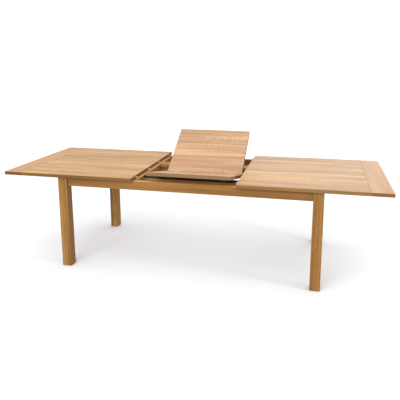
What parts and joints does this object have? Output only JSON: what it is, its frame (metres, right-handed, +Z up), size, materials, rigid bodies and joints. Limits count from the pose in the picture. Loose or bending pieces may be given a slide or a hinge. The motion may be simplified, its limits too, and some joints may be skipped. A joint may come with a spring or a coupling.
{
  "type": "extendable dining table",
  "caption": "Rectangular wooden dining table standing on square corner legs, its top parted in the middle and a hinged self-storing leaf half raised in the opening.",
  "frame": {"origin": "on the floor under the middle of the table", "axes": "+X along the length of the table, +Y towards its rear long edge, +Z up"},
  "size_m": [3, 1.1, 1.0219],
  "materials": {
    "top_wood": "oiled hardwood, satin",
    "frame_wood": "oiled hardwood, satin",
    "dowel": "plain turned hardwood",
    "bracket": "black zinc plated",
    "hinge": "satin",
    "glide": "matt nylon",
    "bumper": "matt rubber"
  },
  "bodies": {
    "frame": {"leg_front_left": "frame_wood", "leg_front_right": "frame_wood", "leg_rear_left": "frame_wood", "leg_rear_right": "frame_wood", "foot_glide_front_left": "glide", "foot_glide_front_right": "glide", "foot_glide_rear_left": "glide", "foot_glide_rear_right": "glide", "apron_front": "frame_wood", "apron_rear": "frame_wood", "apron_left": "frame_wood", "apron_right": "frame_wood", "cross_rail_left": "frame_wood", "cross_rail_right": "frame_wood", "leaf_bearer_rear": "frame_wood", "bearer_rail": "frame_wood", "pivot_rail": "frame_wood", "leaf_bumper_left": "bumper", "leaf_bumper_middle": "bumper", "leaf_bumper_right": "bumper", "corner_plate_front_left": "frame_wood", "corner_plate_front_right": "frame_wood", "corner_plate_rear_left": "frame_wood", "corner_plate_rear_right": "frame_wood", "pivot_bracket_left": "bracket", "pivot_bracket_right": "bracket", "pivot_pin_left": "bracket", "pivot_pin_right": "bracket"},
    "top_left": {"top_left_panel": "top_wood", "top_left_breadboard": "top_wood", "top_left_runner_front": "frame_wood", "top_left_runner_rear": "frame_wood", "top_left_dowel_front_1": "dowel", "top_left_dowel_front_2": "dowel", "top_left_dowel_rear_1": "dowel", "top_left_dowel_rear_2": "dowel"},
    "top_right": {"top_right_panel": "top_wood", "top_right_breadboard": "top_wood", "top_right_runner_front": "frame_wood", "top_right_runner_rear": "frame_wood", "top_right_dowel_front_1": "dowel", "top_right_dowel_front_2": "dowel", "top_right_dowel_rear_1": "dowel", "top_right_dowel_rear_2": "dowel"},
    "leaf_front": {"leaf_front_panel": "top_wood", "hinge_front_plate_left": "hinge", "hinge_front_plate_right": "hinge", "hinge_pin_left": "hinge", "hinge_pin_right": "hinge", "pivot_lug_left": "bracket", "pivot_lug_right": "bracket"},
    "leaf_rear": {"leaf_rear_panel": "top_wood", "hinge_rear_plate_left": "hinge", "hinge_rear_plate_right": "hinge"}
  },
  "joints": [
    {"name": "top_left_slide", "type": "slide", "parent": "frame", "child": "top_left", "axis": [1, 0, 0], "range_m": [0, 0.1075]},
    {"name": "top_right_slide", "type": "slide", "parent": "frame", "child": "top_right", "axis": [-1, 0, 0], "range_m": [0, 0.0275]},
    {"name": "leaf_pivot", "type": "hinge", "parent": "frame", "child": "leaf_front", "pos_m": [0, -0.285, 0.735], "axis": [-1, 0, 0], "range_deg": [-11.8, 34]},
    {"name": "leaf_hinge", "type": "hinge", "parent": "leaf_front", "child": "leaf_rear", "pos_m": [0, 0.00318, 0.72077], "axis": [1, 0, 0], "range_deg": [-45.1, 129.9]}
  ],
  "couplings": [
    {"joint": "leaf_pivot", "follows": "leaf_hinge", "ratio": 0.26164}
  ]
}
